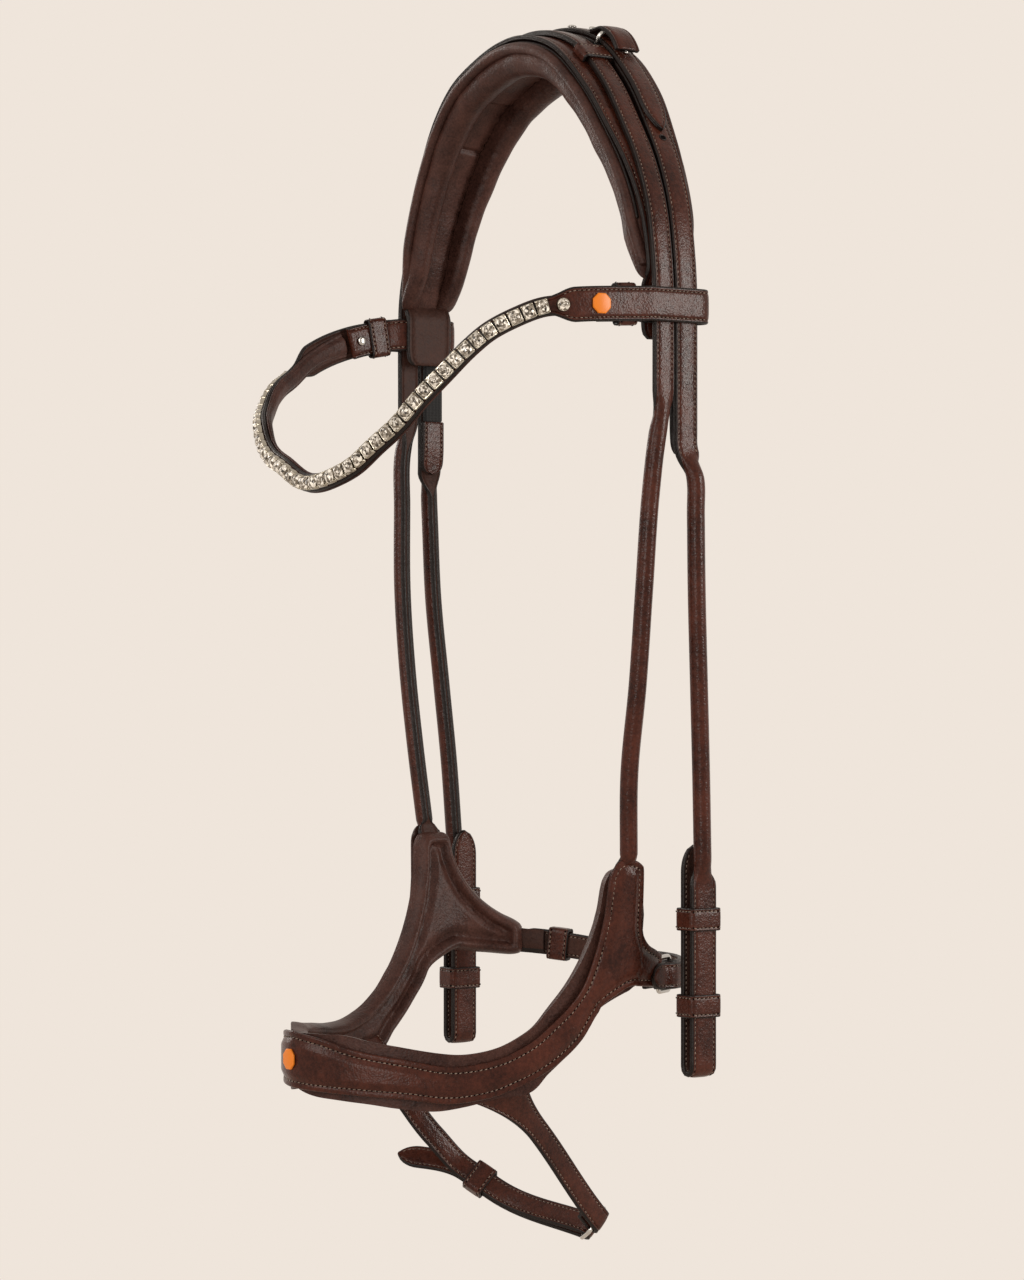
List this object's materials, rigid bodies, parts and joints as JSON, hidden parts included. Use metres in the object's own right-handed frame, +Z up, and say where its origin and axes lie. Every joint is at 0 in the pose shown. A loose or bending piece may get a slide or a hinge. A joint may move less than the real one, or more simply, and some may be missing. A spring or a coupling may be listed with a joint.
{
  "type": "horse bridle",
  "caption": "Horse bridle with a padded headpiece, a browband of crystals, rolled cheekpieces with folded billets, and a shaped padded noseband with a chin strap.",
  "frame": {"origin": "underside of the headpiece pad at its middle, where the bridle hangs on the horse's poll", "axes": "+Z up, +X towards the horse's left (near) side, -Y towards its nose"},
  "size_m": [0.2388, 0.2098, 0.6087],
  "materials": {
    "bridle_leather": "dark brown, smooth and waxed",
    "soft_leather": "matte soft padding leather",
    "elastic": "black ribbed elastic webbing",
    "steel": "polished stainless",
    "crystal": "clear faceted stones in silver cups",
    "badge": "plain orange"
  },
  "bodies": {
    "headpiece": {"cheek_elastic_far": "elastic", "cheek_elastic_near": "elastic", "cheek_headstrap": "bridle_leather", "crown_buckle_frame": "steel", "crown_keeper": "bridle_leather", "crown_strap_end": "bridle_leather", "crown_stud_middle": "steel", "crown_stud_near": "steel", "headpiece": "bridle_leather", "headpiece_pad": "soft_leather", "noseband_headstrap": "bridle_leather"},
    "billet_runner_far": {"billet_runner_far": "bridle_leather"},
    "billet_runner_near": {"billet_runner_near": "bridle_leather"},
    "cheekpiece_far": {"billet_stud_far": "steel", "billet_upper_keeper_far": "bridle_leather", "cheekpiece_far": "bridle_leather"},
    "cheekpiece_near": {"billet_stud_near": "steel", "billet_upper_keeper_near": "bridle_leather", "cheekpiece_near": "bridle_leather"},
    "browband": {"browband": "bridle_leather", "browband_badge": "badge", "browband_keeper_far": "bridle_leather", "browband_keeper_near": "bridle_leather", "browband_lining": "soft_leather", "browband_stud_far": "steel", "browband_stud_near": "steel", "crystal_strip": "crystal", "single_crystal": "crystal"},
    "cheek_strap_far": {"cheek_strap_backing_far": "bridle_leather", "cheek_strap_far": "bridle_leather"},
    "cheek_strap_near": {"cheek_strap_backing_near": "bridle_leather", "cheek_strap_near": "bridle_leather"},
    "chin_strap": {"chin_arm_near": "bridle_leather", "chin_keeper": "bridle_leather", "chin_ring": "steel", "chin_strap": "bridle_leather"},
    "crown_tongue": {"crown_buckle_tongue": "steel"},
    "noseband": {"jaw_buckle_frame": "steel", "jaw_keeper": "bridle_leather", "jaw_strap": "bridle_leather", "noseband": "bridle_leather", "noseband_badge": "badge", "noseband_hanger_far": "bridle_leather", "noseband_hanger_near": "bridle_leather", "noseband_pad": "soft_leather"}
  },
  "joints": [
    {"name": "browband_slide", "type": "slide", "parent": "headpiece", "child": "browband", "axis": [0, 0, 1], "range_m": [-0.012, 0.002]},
    {"name": "noseband_swing", "type": "hinge", "parent": "headpiece", "child": "noseband", "pos_m": [0, -0.007, -0.1683], "axis": [1, 0, 0], "range_deg": [-25, 3]},
    {"name": "chin_swing", "type": "hinge", "parent": "noseband", "child": "chin_strap", "pos_m": [0, -0.07829, -0.50382], "axis": [1, 0, 0], "range_deg": [-8, 2.5]},
    {"name": "crown_tongue_turn", "type": "hinge", "parent": "headpiece", "child": "crown_tongue", "pos_m": [0.03907, 0.01648, 0.01883], "axis": [0.0063, 1, -0.0038], "range_deg": [-60, 0]},
    {"name": "cheek_stretch_near", "type": "slide", "parent": "headpiece", "child": "cheek_strap_near", "axis": [0, 0, -1], "range_m": [0, 0.008], "stiffness_N_per_m": 600, "deforming": ["cheek_elastic_near"]},
    {"name": "cheek_swing_near", "type": "hinge", "parent": "cheek_strap_near", "child": "cheekpiece_near", "pos_m": [0.1106, 0.0062, -0.189], "axis": [1, 0, 0], "range_deg": [-2, 25]},
    {"name": "runner_slide_near", "type": "slide", "parent": "cheekpiece_near", "child": "billet_runner_near", "axis": [0, 0, 1], "range_m": [-0.02, 0.008]},
    {"name": "cheek_stretch_far", "type": "slide", "parent": "headpiece", "child": "cheek_strap_far", "axis": [0, 0, -1], "range_m": [0, 0.008], "stiffness_N_per_m": 600, "deforming": ["cheek_elastic_far"]},
    {"name": "cheek_swing_far", "type": "hinge", "parent": "cheek_strap_far", "child": "cheekpiece_far", "pos_m": [-0.1106, 0.0062, -0.189], "axis": [1, 0, 0], "range_deg": [-2, 25]},
    {"name": "runner_slide_far", "type": "slide", "parent": "cheekpiece_far", "child": "billet_runner_far", "axis": [0, 0, 1], "range_m": [-0.02, 0.008]}
  ]
}
